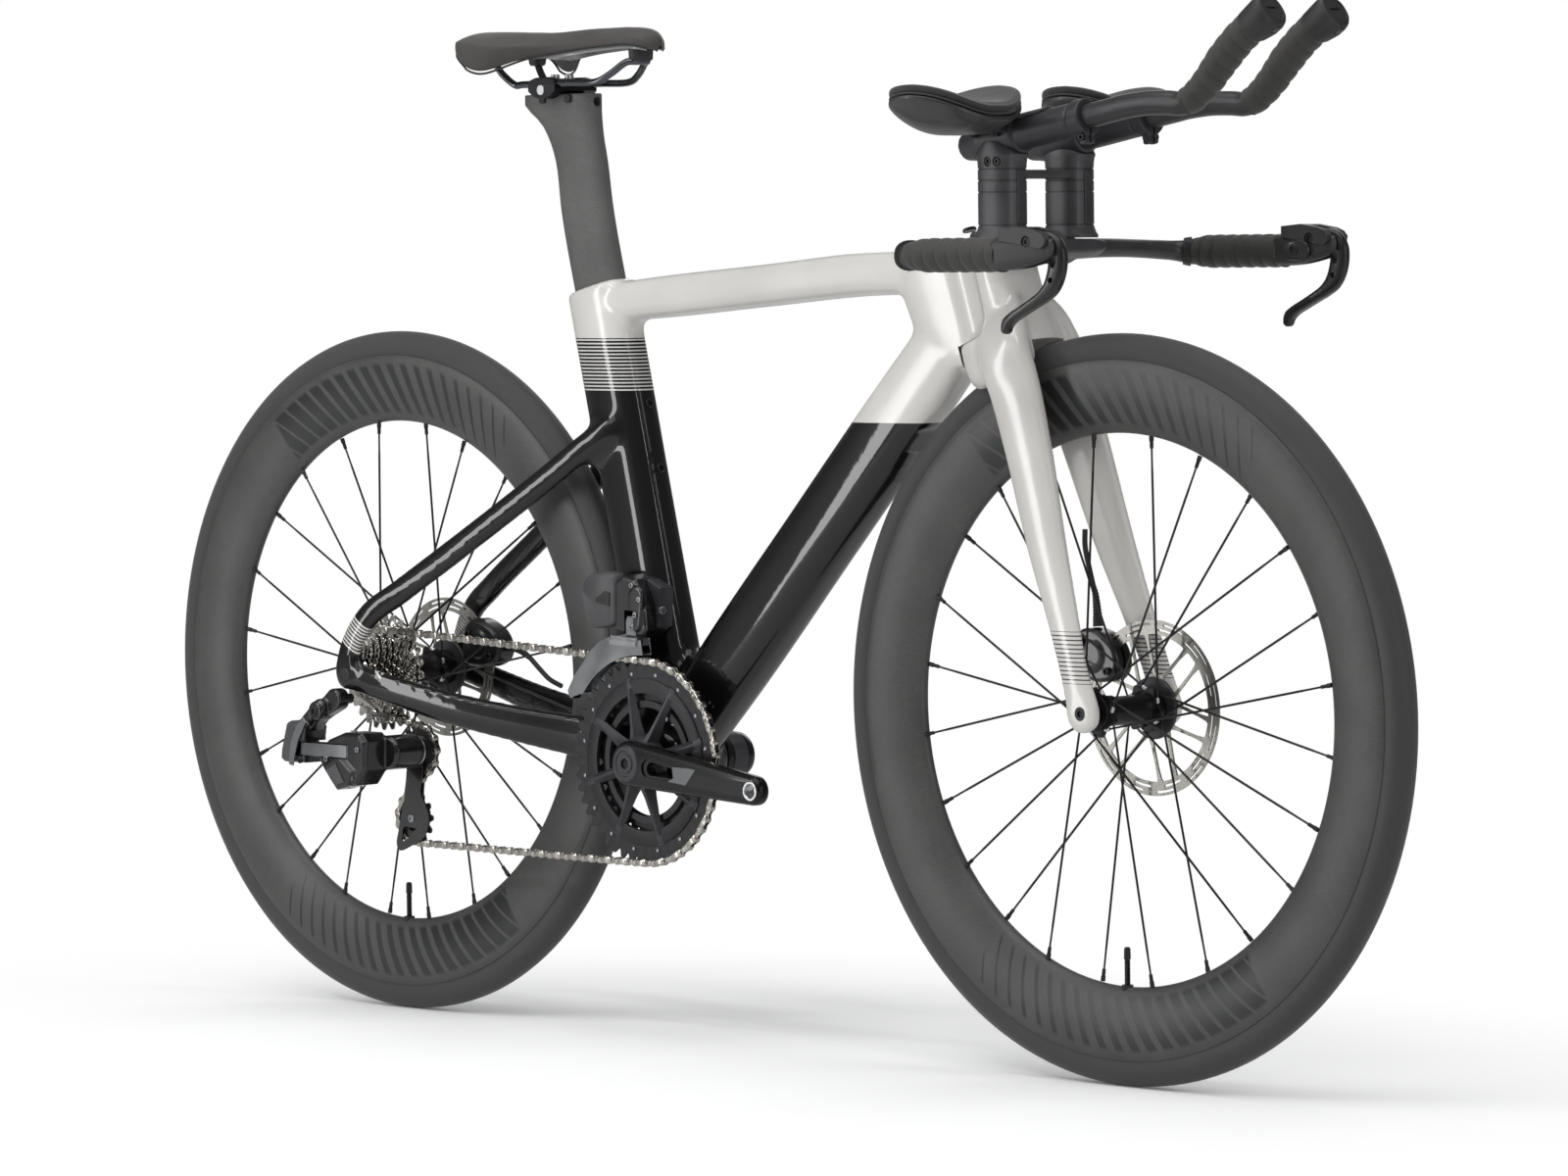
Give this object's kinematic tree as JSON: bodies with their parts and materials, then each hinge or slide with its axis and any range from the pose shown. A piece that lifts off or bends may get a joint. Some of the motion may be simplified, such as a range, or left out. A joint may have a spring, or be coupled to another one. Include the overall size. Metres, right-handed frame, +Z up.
{
  "type": "time-trial bicycle",
  "caption": "Time-trial bicycle with deep carbon wheels, disc brakes, an aero frame, a flat base bar and forearm extensions, and an electronic chain drive.",
  "frame": {"origin": "on the ground midway between the two axles, in the bicycle's middle plane", "axes": "+X forward, +Y to the rider's left, +Z up"},
  "size_m": [1.66, 0.403, 0.9749],
  "materials": {
    "alloy": "satin",
    "black_alloy": "black anodised",
    "black_plastic": "matt black",
    "carbon": "satin bare carbon",
    "cover": "matt synthetic",
    "foam": "matt padded",
    "pearl": "gloss pearl white paint over carbon",
    "rubber": "matt",
    "steel": "satin",
    "tyre": "matt"
  },
  "bodies": {
    "frame": {"frame": "pearl", "upper_headset_bearing": "steel", "lower_headset_bearing": "steel", "bottom_bracket": "black_alloy", "rear_thru_axle": "black_alloy", "rear_brake_caliper": "black_plastic", "rear_brake_hose": "rubber", "front_derailleur": "black_plastic", "derailleur_knuckle": "black_plastic", "chain": "steel"},
    "front_derailleur_cage": {"front_derailleur_cage": "black_alloy"},
    "seatpost": {"seatpost": "carbon"},
    "saddle_clamp": {"saddle_cradle": "black_alloy", "saddle_clamp_cap": "black_alloy"},
    "saddle": {"saddle_rails": "alloy", "saddle_shell": "black_plastic", "saddle_cover": "cover"},
    "steering": {"fork": "pearl", "front_brake_caliper": "black_plastic", "front_brake_hose": "rubber", "front_thru_axle": "black_alloy", "base_bar": "carbon", "left_lever_body": "black_plastic", "right_lever_body": "black_plastic", "left_tower": "carbon", "right_tower": "carbon", "tower_bridge": "black_alloy", "left_extension_clamp": "black_alloy", "right_extension_clamp": "black_alloy", "left_arm_cup": "black_plastic", "right_arm_cup": "black_plastic", "left_arm_pad": "foam", "right_arm_pad": "foam"},
    "left_brake_lever": {"left_brake_lever": "black_alloy"},
    "right_brake_lever": {"right_brake_lever": "black_alloy"},
    "left_extension": {"left_extension": "carbon", "left_grip_pod": "black_plastic"},
    "right_extension": {"right_extension": "carbon", "right_grip_pod": "black_plastic"},
    "left_shift_button": {"left_shift_button": "black_plastic"},
    "right_shift_button": {"right_shift_button": "black_plastic"},
    "front_wheel": {"front_rim": "carbon", "front_tyre": "tyre", "front_hub_and_spokes": "black_alloy", "front_rotor": "steel"},
    "rear_wheel": {"rear_rim": "carbon", "rear_tyre": "tyre", "rear_hub_and_spokes": "black_alloy", "rear_rotor": "steel"},
    "cassette": {"cassette": "steel"},
    "crankset": {"right_crank": "black_alloy", "left_crank": "black_alloy", "chainrings": "black_alloy"},
    "derailleur_outer_link": {"derailleur_outer_link": "black_alloy"},
    "derailleur_inner_link": {"derailleur_inner_link": "black_alloy"},
    "derailleur_motor": {"derailleur_motor": "black_plastic"},
    "derailleur_cage": {"derailleur_cage": "black_alloy"},
    "guide_pulley": {"guide_pulley": "black_plastic"},
    "tension_pulley": {"tension_pulley": "black_plastic"}
  },
  "joints": [
    {"name": "steering", "type": "hinge", "parent": "frame", "child": "steering", "pos_m": [0.44268, 0, 0.34], "axis": [-0.309, 0, 0.9511], "range_deg": [-60, 60]},
    {"name": "front_wheel_spin", "type": "hinge", "parent": "steering", "child": "front_wheel", "pos_m": [0.49, 0, 0.34], "axis": [0, 1, 0], "continuous": true},
    {"name": "rear_wheel_spin", "type": "hinge", "parent": "frame", "child": "rear_wheel", "pos_m": [-0.49, 0, 0.34], "axis": [0, 1, 0], "continuous": true},
    {"name": "crank_spin", "type": "hinge", "parent": "frame", "child": "crankset", "pos_m": [-0.087, 0, 0.269], "axis": [0, 1, 0], "continuous": true, "deforming": ["chain"]},
    {"name": "cassette_spin", "type": "hinge", "parent": "frame", "child": "cassette", "pos_m": [-0.49, 0, 0.34], "axis": [0, 1, 0], "continuous": true},
    {"name": "outer_link_swing", "type": "hinge", "parent": "frame", "child": "derailleur_outer_link", "pos_m": [-0.53, -0.1, 0.265], "axis": [0, 0, 1], "range_deg": [-26, 5.5]},
    {"name": "inner_link_swing", "type": "hinge", "parent": "frame", "child": "derailleur_inner_link", "pos_m": [-0.53, -0.085, 0.265], "axis": [0, 0, 1], "range_deg": [-26, 5.5]},
    {"name": "motor_swing", "type": "hinge", "parent": "derailleur_outer_link", "child": "derailleur_motor", "pos_m": [-0.464, -0.1, 0.265], "axis": [0, 0, 1], "range_deg": [-5.5, 26]},
    {"name": "cage_swing", "type": "hinge", "parent": "derailleur_motor", "child": "derailleur_cage", "pos_m": [-0.431, -0.0348, 0.264], "axis": [0, 1, 0], "range_deg": [-20, 25], "stiffness_Nm_per_rad": 0.6},
    {"name": "guide_pulley_spin", "type": "hinge", "parent": "derailleur_cage", "child": "guide_pulley", "pos_m": [-0.431, -0.0348, 0.264], "axis": [0, 1, 0], "continuous": true},
    {"name": "tension_pulley_spin", "type": "hinge", "parent": "derailleur_cage", "child": "tension_pulley", "pos_m": [-0.43929, -0.0348, 0.1955], "axis": [0, 1, 0], "continuous": true},
    {"name": "front_cage_swing", "type": "hinge", "parent": "frame", "child": "front_derailleur_cage", "pos_m": [-0.105, -0.044, 0.404], "axis": [1, 0, 0], "range_deg": [0, 8]},
    {"name": "seatpost_slide", "type": "slide", "parent": "frame", "child": "seatpost", "axis": [-0.2317, 0, 0.9728], "range_m": [-0.06, 0.04]},
    {"name": "saddle_tilt", "type": "hinge", "parent": "seatpost", "child": "saddle_clamp", "pos_m": [-0.247, 0, 0.935], "axis": [0, 1, 0], "range_deg": [-5, 5]},
    {"name": "saddle_slide", "type": "slide", "parent": "saddle_clamp", "child": "saddle", "axis": [1, 0, 0], "range_m": [-0.015, 0.015]},
    {"name": "left_brake_pull", "type": "hinge", "parent": "steering", "child": "left_brake_lever", "pos_m": [0.562, 0.187, 0.763], "axis": [0, 1, 0], "range_deg": [0, 14], "stiffness_Nm_per_rad": 2, "springref_deg": -2.86},
    {"name": "right_brake_pull", "type": "hinge", "parent": "steering", "child": "right_brake_lever", "pos_m": [0.562, -0.187, 0.763], "axis": [0, 1, 0], "range_deg": [0, 14], "stiffness_Nm_per_rad": 2, "springref_deg": -2.86},
    {"name": "left_extension_slide", "type": "slide", "parent": "steering", "child": "left_extension", "axis": [0.9863, 0, 0.165], "range_m": [-0.015, 0.03]},
    {"name": "right_extension_slide", "type": "slide", "parent": "steering", "child": "right_extension", "axis": [0.9863, 0, 0.165], "range_m": [-0.015, 0.03]},
    {"name": "left_button_press", "type": "slide", "parent": "left_extension", "child": "left_shift_button", "axis": [-0.5735, 0, 0.8192], "range_m": [0, 0.0012], "stiffness_N_per_m": 800, "springref_m": -0.0003},
    {"name": "right_button_press", "type": "slide", "parent": "right_extension", "child": "right_shift_button", "axis": [-0.5735, 0, 0.8192], "range_m": [0, 0.0012], "stiffness_N_per_m": 800, "springref_m": -0.0003}
  ],
  "couplings": [
    {"joint": "cassette_spin", "follows": "crank_spin", "ratio": 2.2857},
    {"joint": "guide_pulley_spin", "follows": "crank_spin", "ratio": -4},
    {"joint": "tension_pulley_spin", "follows": "crank_spin", "ratio": 4},
    {"joint": "inner_link_swing", "follows": "outer_link_swing", "ratio": 1},
    {"joint": "motor_swing", "follows": "outer_link_swing", "ratio": -1}
  ]
}
